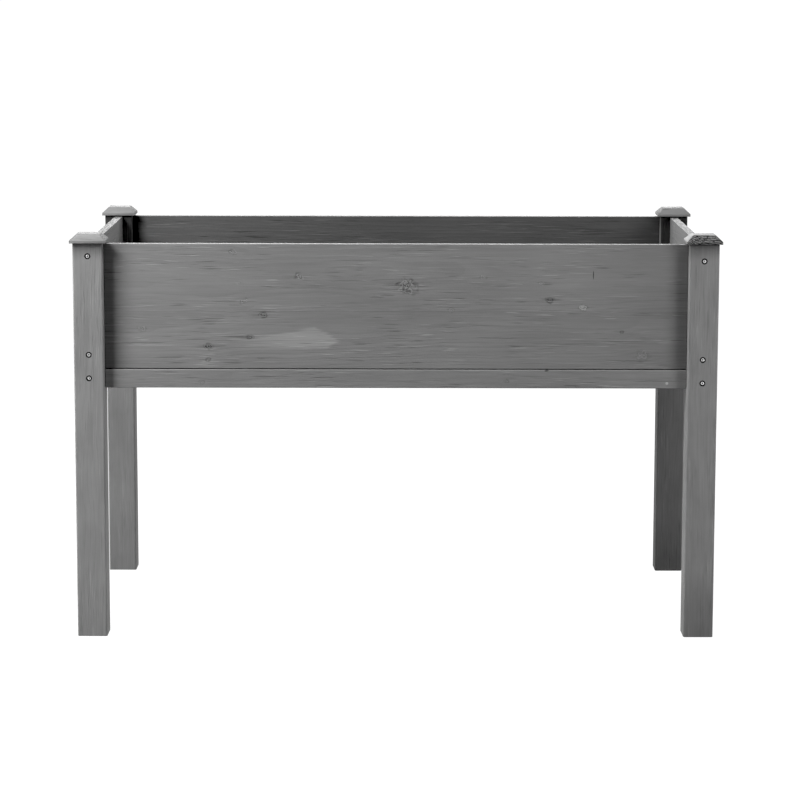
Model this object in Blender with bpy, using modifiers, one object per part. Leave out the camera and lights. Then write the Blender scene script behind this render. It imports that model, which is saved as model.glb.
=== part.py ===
"""Raised timber planter: four capped posts, a trough of wide boards over narrow rails, and a slatted floor.

Run with: blender --background --python part.py
Metres, +Z up. The origin is on the ground under the middle of the trough, and the long front faces -Y.
"""

import math

import bmesh
import bpy
from mathutils import Matrix, Vector

# Overall sizes, over the caps
LENGTH = 1.232
DEPTH = 0.680

# Posts
POST_WIDTH = 0.057
POST_HEIGHT = 0.758
POST_ARRIS = 0.0026
POST_END_ARRIS = 0.0008

# Caps
CAP_OVERHANG = 0.0055
CAP_BAND = 0.0052
CAP_CHAMFER_RUN = 0.0126
CAP_CHAMFER_RISE = 0.0117
CAP_ARRIS = 0.0005

# Wide boards, and the rails under them
BOARD_THICKNESS = 0.016
BOARD_HEIGHT = 0.2380
BOARD_DROP = 0.0020
BOARD_ARRIS = 0.001
RAIL_THICKNESS = 0.021
RAIL_HEIGHT = 0.0355
RAIL_ARRIS = 0.0015
BOARD_RAIL_GAP = 0.0015

# Floor slats, and the ledgers that carry them
LEDGER_WIDTH = 0.020
LEDGER_HEIGHT = 0.020
LEDGER_ARRIS = 0.001
SLAT_COUNT = 8
SLAT_THICKNESS = 0.012
SLAT_GAP = 0.006
SLAT_ARRIS = 0.001
SLAT_POST_ROOM = 0.002

# Screws through the posts into the ends of the boards and rails
POST_SCREW = {"head_radius": 0.0041, "head_height": 0.0026, "radius": 0.0022, "length": 0.080}
POST_SCREW_SINK = 0.0012
SCREW_FROM_BOARD_TOP = 0.026
SCREW_FROM_BOARD_BOTTOM = 0.0245
SCREW_FROM_RAIL_BOTTOM = 0.0165
SCREW_STAGGER = 0.0075

# Screws through the ledgers into the long rails
LEDGER_SCREW = {"head_radius": 0.0036, "head_height": 0.0022, "radius": 0.0018, "length": 0.032}
LEDGER_SCREW_SINK = 0.001
LEDGER_SCREW_COUNT = 3
LEDGER_SCREW_FROM_END = 0.170

# The cross recess and the point of every screw
RECESS_WIDTH = 0.0012
RECESS_SPAN = 0.0044
RECESS_DEPTH = 0.0014
POINT_LENGTH = 0.007
SCREW_SIDES = 12

# Dowels between the posts and their caps
DOWEL_RADIUS = 0.005
DOWEL_IN_POST = 0.015
DOWEL_IN_CAP = 0.008
DOWEL_CHAMFER = 0.001
DOWEL_SIDES = 16

# Clearances
CLEARANCE = 0.0003
COUNTERBORE_ROOM = 0.0009
PILOT_TIP_ROOM = 0.001
CUT_OVERRUN = 0.002

# Heights and places worked out from the sizes above
BOARD_TOP = POST_HEIGHT - BOARD_DROP
BOARD_BOTTOM = BOARD_TOP - BOARD_HEIGHT
RAIL_TOP = BOARD_BOTTOM - BOARD_RAIL_GAP
RAIL_BOTTOM = RAIL_TOP - RAIL_HEIGHT
SLAT_BOTTOM = RAIL_TOP - SLAT_THICKNESS
LEDGER_MIDDLE = SLAT_BOTTOM - CLEARANCE - LEDGER_HEIGHT / 2
CAP_BOTTOM = POST_HEIGHT + CLEARANCE
POST_X = LENGTH / 2 - CAP_OVERHANG - POST_WIDTH / 2
POST_Y = DEPTH / 2 - CAP_OVERHANG - POST_WIDTH / 2

# Each screw row and its middle height: the first two rows hold the board, and the last holds the rail
BOARD_ROWS = (
    ("top", BOARD_TOP - SCREW_FROM_BOARD_TOP),
    ("middle", BOARD_BOTTOM + SCREW_FROM_BOARD_BOTTOM),
)
RAIL_ROWS = (("bottom", RAIL_BOTTOM + SCREW_FROM_RAIL_BOTTOM),)

# Each corner is a quarter turn on from the one before, seen from above
CORNERS = (
    ("front_left", -POST_X, -POST_Y),
    ("front_right", POST_X, -POST_Y),
    ("back_right", POST_X, POST_Y),
    ("back_left", -POST_X, POST_Y),
)

# Each side runs from the corner of the same number to the next one: its name, the names of its two
# ends, half the distance between its posts, and the distance of its line from the middle
SIDES = (
    ("front", "left", "right", POST_X, POST_Y),
    ("right", "front", "back", POST_Y, POST_X),
    ("back", "right", "left", POST_X, POST_Y),
    ("left", "back", "front", POST_Y, POST_X),
)

# Colour, roughness and metallic value of each finish
FINISHES = {
    "post_stain": ((0.200, 0.200, 0.200), 0.70, 0.0),
    "board_stain": ((0.180, 0.180, 0.180), 0.70, 0.0),
    "rail_stain": ((0.160, 0.160, 0.160), 0.70, 0.0),
    "cap_stain": ((0.240, 0.240, 0.240), 0.65, 0.0),
    "floor_stain": ((0.150, 0.150, 0.150), 0.80, 0.0),
    "dowel_timber": ((0.520, 0.420, 0.300), 0.75, 0.0),
    "screw_zinc": ((0.420, 0.420, 0.430), 0.40, 1.0),
}


def clear_scene():
    for old in list(bpy.data.objects):
        bpy.data.objects.remove(old, do_unlink=True)


def new_collection(name):
    made = bpy.data.collections.new(name)
    bpy.context.scene.collection.children.link(made)
    return made


def new_material(name, finish):
    colour, roughness, metallic = FINISHES[finish]
    made = bpy.data.materials.new(name + "_" + finish)
    made.use_nodes = True
    shader = made.node_tree.nodes["Principled BSDF"]
    shader.inputs["Base Color"].default_value = (*colour, 1.0)
    shader.inputs["Roughness"].default_value = roughness
    shader.inputs["Metallic"].default_value = metallic
    return made


def new_part(name, mesh, finish, parts, place):
    mesh.name = name
    mesh.materials.append(new_material(name, finish))
    made = bpy.data.objects.new(name, mesh)
    parts.objects.link(made)
    made.matrix_world = place
    return made


def new_cutter(name, mesh, cutters, place):
    made = bpy.data.objects.new(name, mesh)
    cutters.objects.link(made)
    made.matrix_world = place
    made.hide_render = True
    made.display_type = "WIRE"
    return made


def cut(target, cutter):
    boolean = target.modifiers.new("cut_" + cutter.name, "BOOLEAN")
    boolean.operation = "DIFFERENCE"
    boolean.solver = "EXACT"
    boolean.object = cutter


def ease(target, width, segments):
    bevel = target.modifiers.new("eased_edges", "BEVEL")
    bevel.width = width
    bevel.segments = segments
    bevel.limit_method = "ANGLE"


def ease_post(target):
    """The four long arrises get the full width, and the edges of the two ends only a little."""
    mesh = target.data
    weights = mesh.attributes.new("bevel_weight_edge", "FLOAT", "EDGE")
    for edge in mesh.edges:
        first, second = (mesh.vertices[number].co for number in edge.vertices)
        upright = abs(second.z - first.z) > 0
        weights.data[edge.index].value = 1.0 if upright else POST_END_ARRIS / POST_ARRIS
    bevel = target.modifiers.new("eased_edges", "BEVEL")
    bevel.width = POST_ARRIS
    bevel.segments = 2
    bevel.limit_method = "WEIGHT"


def finished_mesh(name, bm):
    mesh = bpy.data.meshes.new(name)
    bm.to_mesh(mesh)
    bm.free()
    return mesh


def box_mesh(name, size, middles=((0.0, 0.0, 0.0),)):
    """One box, or several equal boxes with the given middles."""
    bm = bmesh.new()
    for middle in middles:
        place = Matrix.Translation(middle) @ Matrix.Diagonal((*size, 1.0))
        bmesh.ops.create_cube(bm, size=1.0, matrix=place)
    return finished_mesh(name, bm)


def evaluated_mesh(pattern):
    """The pattern's mesh with its modifiers applied. The pattern itself is removed."""
    bpy.context.view_layer.update()
    shown = pattern.evaluated_get(bpy.context.evaluated_depsgraph_get())
    mesh = bpy.data.meshes.new_from_object(shown)
    bpy.data.objects.remove(pattern, do_unlink=True)
    return mesh


def turned_pattern(name, profile, sides):
    """A solid of revolution about Z. The profile's (radius, height) points run from its top to its bottom."""
    bm = bmesh.new()
    points = [bm.verts.new((radius, 0.0, height)) for radius, height in profile]
    for upper, lower in zip(points, points[1:]):
        bm.edges.new((upper, lower))
    pattern = bpy.data.objects.new(name, finished_mesh(name, bm))
    bpy.context.scene.collection.objects.link(pattern)
    screw = pattern.modifiers.new("turn", "SCREW")
    screw.axis = "Z"
    screw.angle = math.tau
    screw.steps = sides
    screw.render_steps = sides
    screw.use_merge_vertices = True
    screw.merge_threshold = 0.00001
    return pattern


def screw_mesh(name, size):
    """A pan-head screw with a cross recess. Z = 0 is the underside of its head, and its point is at -Z."""
    radius, height = size["head_radius"], size["head_height"]
    shoulder = size["radius"]
    profile = (
        (0.0, height),
        (radius * 0.70, height),
        (radius, height * 0.55),
        (radius, 0.0),
        (shoulder, 0.0),
        (shoulder, POINT_LENGTH - size["length"]),
        (0.0, -size["length"]),
    )
    pattern = turned_pattern(name, profile, SCREW_SIDES)
    slot_depth = RECESS_DEPTH + CUT_OVERRUN
    middle = (0.0, 0.0, height - RECESS_DEPTH + slot_depth / 2)
    slots = []
    for wide, long in ((RECESS_WIDTH, RECESS_SPAN), (RECESS_SPAN, RECESS_WIDTH)):
        slot = bpy.data.objects.new(name + "_slot", box_mesh(name + "_slot", (wide, long, slot_depth), (middle,)))
        bpy.context.scene.collection.objects.link(slot)
        cut(pattern, slot)
        slots.append(slot)
    mesh = evaluated_mesh(pattern)
    for slot in slots:
        bpy.data.objects.remove(slot, do_unlink=True)
    mesh.shade_smooth()
    mesh.set_sharp_from_angle(angle=math.radians(35))
    return mesh


def screw_hole_mesh(name, size, sink, run):
    """A stepped hole for a screw. Z = 0 is the face that its head sinks into, and the bore ends at -run."""
    bore = size["radius"] + CLEARANCE
    counterbore = size["head_radius"] + COUNTERBORE_ROOM
    seat = -(sink + size["head_height"] + CLEARANCE)
    profile = (
        (0.0, CUT_OVERRUN),
        (counterbore, CUT_OVERRUN),
        (counterbore, seat),
        (bore, seat),
        (bore, -run),
        (0.0, -run),
    )
    return evaluated_mesh(turned_pattern(name, profile, SCREW_SIDES))


def round_mesh(name, radius, top, bottom, sides, chamfer=0.0):
    """A cylinder about Z with an optional chamfer at both ends."""
    profile = [(0.0, top), (radius - chamfer, top), (radius, top - chamfer)]
    profile += [(radius, bottom + chamfer), (radius - chamfer, bottom), (0.0, bottom)]
    if not chamfer:
        profile = [(0.0, top), (radius, top), (radius, bottom), (0.0, bottom)]
    mesh = evaluated_mesh(turned_pattern(name, profile, sides))
    mesh.shade_smooth()
    mesh.set_sharp_from_angle(angle=math.radians(35))
    return mesh


def copies_mesh(name, mesh, places):
    """The same solid at each of the places, in one mesh: a cutter for a row of equal holes."""
    bm = bmesh.new()
    for place in places:
        one = mesh.copy()
        one.transform(place)
        bm.from_mesh(one)
        bpy.data.meshes.remove(one)
    return finished_mesh(name, bm)


def turn_to(direction):
    """The rotation that brings +Z to the direction."""
    return Vector(direction).to_track_quat("Z", "Y").to_matrix().to_4x4()


def quarter_turn(number):
    return Matrix.Rotation(math.radians(90) * number, 4, "Z")


def side_place(number, line):
    """Local +X runs along the side, local +Y points into the trough, and local Z is the height."""
    return quarter_turn(number) @ Matrix.Translation((0.0, -line, 0.0))


def staggered(rows, shift):
    """The screws of a post's one face are above those of the other, so that their shanks pass."""
    return [(name, height + shift * SCREW_STAGGER / 2) for name, height in rows]


def side_screws(half, rows):
    """The rows of both ends of a side: end number, row name, outward direction and head seat in its frame."""
    seat = half + POST_WIDTH / 2 - POST_SCREW_SINK - POST_SCREW["head_height"]
    for end, outward, shift in ((0, -1, -1), (1, 1, 1)):
        for row, height in staggered(rows, shift):
            place = Matrix.Translation((outward * seat, 0.0, height)) @ turn_to((outward, 0, 0))
            yield end, row, place


def post_hole_places():
    """Where a post's screw holes start: its local -Y face has the upper rows, and its -X face the lower ones."""
    half = POST_WIDTH / 2
    places = []
    for outward, shift in ((Vector((0, -1, 0)), 1), (Vector((-1, 0, 0)), -1)):
        for _, height in staggered(BOARD_ROWS + RAIL_ROWS, shift):
            start = outward * half + Vector((0, 0, height))
            places.append(Matrix.Translation(start) @ turn_to(outward))
    return places


def make_posts(parts, cutters):
    hole = screw_hole_mesh("post_hole", POST_SCREW, POST_SCREW_SINK, POST_WIDTH + CUT_OVERRUN)
    screw_holes = copies_mesh("post_holes", hole, post_hole_places())
    dowel_hole = round_mesh(
        "post_dowel_hole",
        DOWEL_RADIUS + CLEARANCE,
        POST_HEIGHT + CUT_OVERRUN,
        POST_HEIGHT - DOWEL_IN_POST - CLEARANCE,
        DOWEL_SIDES,
    )
    for number, (corner, x, y) in enumerate(CORNERS):
        place = Matrix.Translation((x, y, 0.0)) @ quarter_turn(number)
        middle = (0.0, 0.0, POST_HEIGHT / 2)
        mesh = box_mesh("post", (POST_WIDTH, POST_WIDTH, POST_HEIGHT), (middle,))
        post = new_part("post_" + corner, mesh, "post_stain", parts, place)
        ease_post(post)
        cut(post, new_cutter("screw_holes_" + corner, screw_holes, cutters, place))
        cut(post, new_cutter("dowel_hole_" + corner, dowel_hole, cutters, place))


def cap_mesh():
    """A square block with a vertical band and a flat chamfer up to a smaller flat top."""
    width = POST_WIDTH + 2 * CAP_OVERHANG
    shrink = 1 - 2 * CAP_CHAMFER_RUN / width
    bm = bmesh.new()
    place = Matrix.Translation((0.0, 0.0, CAP_BAND / 2)) @ Matrix.Diagonal((width, width, CAP_BAND, 1.0))
    bmesh.ops.create_cube(bm, size=1.0, matrix=place)
    bm.normal_update()
    top = [face for face in bm.faces if face.normal.z > 0.5]
    raised = bmesh.ops.extrude_face_region(bm, geom=top)["geom"]
    rim = [item for item in raised if isinstance(item, bmesh.types.BMVert)]
    bmesh.ops.delete(bm, geom=top, context="FACES_ONLY")
    bmesh.ops.scale(bm, vec=(shrink, shrink, 1.0), verts=rim)
    bmesh.ops.translate(bm, vec=(0.0, 0.0, CAP_CHAMFER_RISE), verts=rim)
    return finished_mesh("cap", bm)


def make_caps(parts, cutters):
    dowel = round_mesh(
        "cap_dowel",
        DOWEL_RADIUS,
        CAP_BOTTOM + DOWEL_IN_CAP,
        POST_HEIGHT - DOWEL_IN_POST,
        DOWEL_SIDES,
        DOWEL_CHAMFER,
    )
    dowel_hole = round_mesh(
        "cap_dowel_hole",
        DOWEL_RADIUS + CLEARANCE,
        DOWEL_IN_CAP + CLEARANCE,
        -CUT_OVERRUN,
        DOWEL_SIDES,
    )
    for number, (corner, x, y) in enumerate(CORNERS):
        place = Matrix.Translation((x, y, CAP_BOTTOM)) @ quarter_turn(number)
        cap = new_part("cap_" + corner, cap_mesh(), "cap_stain", parts, place)
        ease(cap, CAP_ARRIS, 1)
        cut(cap, new_cutter("cap_hole_" + corner, dowel_hole, cutters, place))
        dowel_place = Matrix.Translation((x, y, 0.0))
        new_part("cap_dowel_" + corner, dowel.copy(), "dowel_timber", parts, dowel_place)


def pilot_holes(name, half, rows):
    """Blind holes in both ends of a board or rail, as deep as the points of its screws and a little more."""
    radius = POST_SCREW["radius"] + CLEARANCE
    hole = round_mesh(name, radius, 0.0, -POST_SCREW["length"] - PILOT_TIP_ROOM, SCREW_SIDES)
    return copies_mesh(name, hole, [place for _, _, place in side_screws(half, rows)])


def make_side_pieces(parts, cutters):
    """A wide board and a rail on each side, both on the line between the middles of its two posts."""
    kinds = (
        ("board", BOARD_THICKNESS, BOARD_BOTTOM, BOARD_TOP, BOARD_ARRIS, BOARD_ROWS),
        ("rail", RAIL_THICKNESS, RAIL_BOTTOM, RAIL_TOP, RAIL_ARRIS, RAIL_ROWS),
    )
    for number, (side, _, _, half, line) in enumerate(SIDES):
        place = side_place(number, line)
        length = 2 * (half - POST_WIDTH / 2 - CLEARANCE)
        for kind, thickness, bottom, top, arris, rows in kinds:
            middle = (0.0, 0.0, (bottom + top) / 2)
            mesh = box_mesh(kind, (length, thickness, top - bottom), (middle,))
            piece = new_part(kind + "_" + side, mesh, kind + "_stain", parts, place)
            ease(piece, arris, 1)
            holes = pilot_holes(kind + "_pilot_holes", half, rows)
            cut(piece, new_cutter(kind + "_pilot_holes_" + side, holes, cutters, place))


def make_post_screws(parts):
    screw = screw_mesh("post_screw", POST_SCREW)
    for number, (side, first_end, second_end, half, line) in enumerate(SIDES):
        ends = (first_end, second_end)
        for end, row, place in side_screws(half, BOARD_ROWS + RAIL_ROWS):
            name = "_".join(("screw", side, ends[end], row))
            new_part(name, screw.copy(), "screw_zinc", parts, side_place(number, line) @ place)


def ledger_screw_places(half):
    """The head seats of a ledger's screws in its side's frame. They point out of the trough."""
    reach = half - POST_WIDTH / 2 - LEDGER_SCREW_FROM_END
    face = RAIL_THICKNESS / 2 + CLEARANCE + LEDGER_WIDTH
    seat = face - LEDGER_SCREW_SINK - LEDGER_SCREW["head_height"]
    step = 2 * reach / (LEDGER_SCREW_COUNT - 1)
    for count in range(LEDGER_SCREW_COUNT):
        spot = (count * step - reach, seat, LEDGER_MIDDLE)
        yield Matrix.Translation(spot) @ turn_to((0, 1, 0))


def make_ledgers(parts, cutters):
    screw = screw_mesh("ledger_screw", LEDGER_SCREW)
    face = Matrix.Translation((0.0, 0.0, LEDGER_SCREW["head_height"] + LEDGER_SCREW_SINK))
    hole = screw_hole_mesh("ledger_hole", LEDGER_SCREW, LEDGER_SCREW_SINK, LEDGER_WIDTH + CUT_OVERRUN)
    radius = LEDGER_SCREW["radius"] + CLEARANCE
    pilot = round_mesh("ledger_pilot", radius, 0.0, -LEDGER_SCREW["length"] - PILOT_TIP_ROOM, SCREW_SIDES)
    for number, (side, _, _, half, line) in enumerate(SIDES):
        if side not in ("front", "back"):
            continue
        place = side_place(number, line)
        length = 2 * (half - POST_WIDTH / 2 - CLEARANCE)
        middle = (0.0, RAIL_THICKNESS / 2 + CLEARANCE + LEDGER_WIDTH / 2, LEDGER_MIDDLE)
        mesh = box_mesh("ledger", (length, LEDGER_WIDTH, LEDGER_HEIGHT), (middle,))
        ledger = new_part("ledger_" + side, mesh, "floor_stain", parts, place)
        ease(ledger, LEDGER_ARRIS, 1)
        seats = list(ledger_screw_places(half))
        holes = copies_mesh("ledger_holes", hole, [seat @ face for seat in seats])
        cut(ledger, new_cutter("ledger_holes_" + side, holes, cutters, place))
        pilots = copies_mesh("ledger_pilots", pilot, seats)
        cut(parts.objects["rail_" + side], new_cutter("ledger_pilots_" + side, pilots, cutters, place))
        for count, seat in enumerate(seats, 1):
            name = "ledger_screw_" + side + "_" + str(count)
            new_part(name, screw.copy(), "screw_zinc", parts, place @ seat)


def make_floor(parts, cutters):
    """Slats across the trough, between the rails, lying on the ledgers. The end ones fit round the posts."""
    reach_x = POST_X - RAIL_THICKNESS / 2 - CLEARANCE
    reach_y = POST_Y - RAIL_THICKNESS / 2 - CLEARANCE
    width = (2 * reach_x - (SLAT_COUNT - 1) * SLAT_GAP) / SLAT_COUNT
    height = SLAT_BOTTOM + SLAT_THICKNESS / 2
    notch = POST_WIDTH + 2 * SLAT_POST_ROOM
    corners = [(x, y, height) for _, x, y in CORNERS]
    notches = box_mesh("post_notches", (notch, notch, SLAT_THICKNESS + 2 * CUT_OVERRUN), corners)
    cutter = new_cutter("post_notches", notches, cutters, Matrix.Identity(4))
    for count in range(SLAT_COUNT):
        middle = count * (width + SLAT_GAP) + width / 2 - reach_x
        mesh = box_mesh("slat", (width, 2 * reach_y, SLAT_THICKNESS))
        place = Matrix.Translation((middle, 0.0, height))
        slat = new_part("floor_slat_" + str(count + 1), mesh, "floor_stain", parts, place)
        ease(slat, SLAT_ARRIS, 1)
        cut(slat, cutter)


def main():
    clear_scene()
    parts = new_collection("raised_planter")
    cutters = new_collection("cutters")
    make_posts(parts, cutters)
    make_caps(parts, cutters)
    make_side_pieces(parts, cutters)
    make_post_screws(parts)
    make_ledgers(parts, cutters)
    make_floor(parts, cutters)


main()
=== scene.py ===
"""Looks of the raised planter: stained softwood pieces and zinc screws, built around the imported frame.

Metres, +Z up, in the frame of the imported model. Every timber piece has a local frame of its own with X along
the grain, so one solid wood texture gives its faces, edges and end grain at once.
"""

import math

import bmesh
import bpy
import numpy as np
from mathutils import Matrix, Vector


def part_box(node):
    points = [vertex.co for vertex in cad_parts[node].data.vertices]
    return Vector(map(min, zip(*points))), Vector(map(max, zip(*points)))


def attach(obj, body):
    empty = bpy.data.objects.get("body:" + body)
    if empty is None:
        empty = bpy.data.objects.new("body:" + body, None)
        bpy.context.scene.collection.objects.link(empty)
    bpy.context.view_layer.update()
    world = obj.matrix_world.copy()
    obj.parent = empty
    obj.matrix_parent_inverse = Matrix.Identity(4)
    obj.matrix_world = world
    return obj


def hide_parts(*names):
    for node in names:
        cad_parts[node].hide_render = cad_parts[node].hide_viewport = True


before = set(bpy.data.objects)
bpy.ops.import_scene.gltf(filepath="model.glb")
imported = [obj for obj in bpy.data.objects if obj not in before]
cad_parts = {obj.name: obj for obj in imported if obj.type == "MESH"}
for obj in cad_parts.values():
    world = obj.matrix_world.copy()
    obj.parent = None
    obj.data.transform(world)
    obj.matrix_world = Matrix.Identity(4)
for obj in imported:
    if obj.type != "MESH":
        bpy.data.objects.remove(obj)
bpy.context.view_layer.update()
rng = np.random.default_rng(7)

# Camera: place, turn in degrees and lens in millimetres
CAMERA_PLACE = (0.0048, -5.7031, 1.2752)
CAMERA_PITCH = 8.624
CAMERA_YAW = 0.035
CAMERA_ROLL = 0.12
CAMERA_LENS = 128.64

# Stage: the floor's grey and its own glow, the pale walls, what glossy rays see, and the view's black level
FLOOR_GREY = 0.12
FLOOR_GLOW = 0.98
LEFT_WALL, RIGHT_WALL = 1.0, 0.95
GLOSSY_GREY = 0.55
BLACK_LEVEL = 0.018

# A cap's vertical band and the run of its chamfer, and the glue line of a wide board, from its middle
CAP_BAND = 0.0052
CAP_CHAMFER = 0.0126
SEAM_LEVEL = -0.0095

# Counterbores: their mouths in posts and ledgers, their wall and depth, and the bore behind them
POST_MOUTH = 0.0057
LEDGER_MOUTH = 0.0054
COUNTERBORE = 0.00505
COUNTERBORE_DEPTH = 0.0028
BORE = 0.0026

# Screw heads: radius, height and shank. The cross recess: its arms' width and length, and twice its depth
POST_SCREW = (0.0041, 0.0026, 0.0022)
LEDGER_SCREW = (0.0036, 0.0022, 0.0018)
RECESS = (0.0015, 0.0047, 0.0038)

# How much wider than a post a slat's notch is
NOTCH_ROOM = 0.004

CORNERS = ("front_left", "front_right", "back_right", "back_left")
SIDES = ("front", "right", "back", "left")


# ---------------------------------------------------------------- meshes


def axis_lines(half, radius, step):
    """Where a block's surface is divided along one axis: round its arrises, then about one step apart."""
    arc = [half - radius + radius * math.tan(math.radians(angle)) for angle in (0, 15, 30)]
    inner = half - radius - 0.0006
    count = max(1, round(2 * inner / step))
    middle = np.linspace(-inner, inner, count + 1)
    outer = np.array([*arc, half])
    return np.concatenate([-outer[::-1], middle, outer])


def block_arrays(size, radii, steps):
    """The surface of a block as points and quads, divided along the lines of its three axes."""
    half = np.array(size) / 2
    lines = [axis_lines(half[axis], radii[axis], steps[axis]) for axis in range(3)]
    points, quads, start = [], [], 0
    for axis in range(3):
        across, up = (axis + 1) % 3, (axis + 2) % 3
        rows, columns = len(lines[across]), len(lines[up])
        number = np.arange(rows * columns).reshape(rows, columns)
        corners = [number[:-1, :-1], number[1:, :-1], number[1:, 1:], number[:-1, 1:]]
        for sign in (1, -1):
            sheet = np.zeros((rows, columns, 3))
            sheet[..., axis] = sign * half[axis]
            sheet[..., across] = lines[across][:, None]
            sheet[..., up] = lines[up][None, :]
            points.append(sheet.reshape(-1, 3))
            order = corners if sign > 0 else corners[::-1]
            quads.append(np.stack([c.ravel() for c in order], 1) + start)
            start += rows * columns
    points, quads = np.concatenate(points), np.concatenate(quads)
    _, first, same = np.unique(np.round(points, 7), axis=0, return_index=True, return_inverse=True)
    return points[first], same.ravel()[quads]


def round_arrises(points, size, radii):
    """The points, with the arrises pulled in to a rounded edge, and their normals and arris mask."""
    half, radii = np.array(size) / 2, np.array(radii)
    core = np.clip(points, -(half - radii), half - radii)
    away = (points - core) / radii
    length = np.linalg.norm(away, axis=1, keepdims=True)
    away = away / length
    mask = (1 - np.abs(away).max(1)) / (1 - math.sqrt(0.5))
    normal = away / radii
    normal /= np.linalg.norm(normal, axis=1, keepdims=True)
    return core + away * radii, normal, np.clip(mask, 0, 1)


def waves(points, lengths, count=5):
    """A smooth field from 0 to 1 over the points: crossing waves with the given lengths along each axis."""
    total = np.zeros(len(points))
    for _ in range(count):
        pace = 2 * math.pi / (np.array(lengths) * rng.uniform(0.6, 1.6, 3))
        total += np.sin(points @ (pace * rng.choice([-1, 1], 3)) + rng.uniform(0, 2 * math.pi))
    return np.clip(0.5 + total / (2 * count) * 1.4, 0, 1)


def weather(points, normal, mask, wave, worn):
    """Planing waves on the faces and a worn, nicked line on the arrises. Everything moves inwards."""
    depth = wave * waves(points, (0.30, 0.06, 0.06))
    line = waves(points, (0.045, 0.5, 0.5)) * waves(points, (0.17, 0.5, 0.5))
    depth += worn * mask * line
    length = np.ptp(points[:, 0])
    for _ in range(int(4 + length * 14)):
        place, reach = rng.uniform(-length / 2, length / 2), rng.uniform(0.0012, 0.004)
        corner = rng.choice([-1, 1], 2)
        near = (np.sign(points[:, 1]) == corner[0]) & (np.sign(points[:, 2]) == corner[1])
        nick = np.exp(-(((points[:, 0] - place) / reach) ** 2)) * rng.uniform(0.3, 1.0)
        depth += worn * mask * nick * near
    return points - normal * depth[:, None]


def mesh_of(name, points, quads, wear):
    mesh = bpy.data.meshes.new(name)
    mesh.from_pydata(points.tolist(), [], quads.tolist())
    mesh.attributes.new("wear", "FLOAT", "POINT").data.foreach_set("value", wear.astype(np.float32))
    mesh.update()
    return mesh


def timber_mesh(name, size, arris, end_arris, steps, wave=0.0001, worn=0.0004):
    """A sawn and planed stick or board, with X along its grain and its middle at the origin."""
    radii = (end_arris, arris, arris)
    points, quads = block_arrays(size, radii, steps)
    points, normal, mask = round_arrises(points, size, radii)
    wear = mask * (0.45 + 0.55 * waves(points, (0.09, 0.5, 0.5)))
    points = weather(points, normal, mask, wave, worn)
    return mesh_of(name, points, quads, wear)


def turned_mesh(name, profile, sides, rough=0.0):
    """A closed solid of revolution about Z, from (radius, height) points that run from top to bottom."""
    angles = np.arange(sides) * 2 * math.pi / sides
    bm = bmesh.new()
    rings = []
    for radius, height in profile:
        if radius == 0:
            rings.append([bm.verts.new((0, 0, height))] * sides)
            continue
        spread = radius * (1 + rough * rng.uniform(-1, 1, sides))
        around = zip(spread, angles)
        rings.append([bm.verts.new((r * math.cos(a), r * math.sin(a), height)) for r, a in around])
    for upper, lower in zip(rings, rings[1:]):
        for one in range(sides):
            two = (one + 1) % sides
            corners = dict.fromkeys((upper[two], upper[one], lower[one], lower[two]))
            bm.faces.new(corners)
    mesh = bpy.data.meshes.new(name)
    bm.to_mesh(mesh)
    bm.free()
    return mesh


def joined_mesh(name, mesh, places):
    """The same solid at each of the places, as one mesh."""
    bm = bmesh.new()
    for place in places:
        one = mesh.copy()
        one.transform(place)
        bm.from_mesh(one)
        bpy.data.meshes.remove(one)
    made = bpy.data.meshes.new(name)
    bm.to_mesh(made)
    bm.free()
    return made


def cut_mesh(mesh, cutters):
    """The mesh with the cutters taken out of it."""
    body = bpy.data.objects.new("cut_body", mesh)
    bpy.context.scene.collection.objects.link(body)
    tools = []
    for cutter in cutters:
        tool = bpy.data.objects.new("cut_tool", cutter)
        bpy.context.scene.collection.objects.link(tool)
        boolean = body.modifiers.new("cut", "BOOLEAN")
        boolean.operation = "DIFFERENCE"
        boolean.solver = "EXACT"
        boolean.object = tool
        tools.append(tool)
    bpy.context.view_layer.update()
    made = bpy.data.meshes.new_from_object(body.evaluated_get(bpy.context.evaluated_depsgraph_get()))
    for used in [body, *tools]:
        bpy.data.objects.remove(used, do_unlink=True)
    return made


def turn_to(direction):
    """The rotation that brings +Z to the direction."""
    return Vector(direction).to_track_quat("Z", "Y").to_matrix().to_4x4()


# ---------------------------------------------------------------- places, from the frame


def middle_and_size(node):
    low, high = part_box(node)
    return (low + high) / 2, high - low


# The local frame of a piece: X along the grain, and Z up the width of a board. Columns are the local axes.
GRAIN_TURNS = {
    "x": Matrix.Identity(3),
    "y": Matrix(((0, -1, 0), (1, 0, 0), (0, 0, 1))),
    "z": Matrix(((0, 0, -1), (0, 1, 0), (1, 0, 0))),
}


def local_place(node, grain):
    """Where a node's local frame is, and the node's size along its axes."""
    middle, size = middle_and_size(node)
    turn = GRAIN_TURNS[grain]
    local = [abs(value) for value in turn.transposed() @ size]
    return Matrix.Translation(middle) @ turn.to_4x4(), local


def screw_axis(node):
    """The middle of a screw's head and the way that the head faces, from the node's box."""
    middle, size = middle_and_size(node)
    axis = max(range(3), key=lambda number: size[number])
    points = np.array([v.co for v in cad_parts[node].data.vertices])
    along = points[:, axis]
    width = np.abs(np.delete(points - np.array(middle), axis, 1)).max(1)
    widest = along[width > width.max() * 0.98].mean()
    facing = Vector((0, 0, 0))
    facing[axis] = 1 if widest > middle[axis] else -1
    top = Vector(middle)
    top[axis] = along.max() if facing[axis] > 0 else along.min()
    return top, facing, size[axis]


# ---------------------------------------------------------------- node graphs


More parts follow.
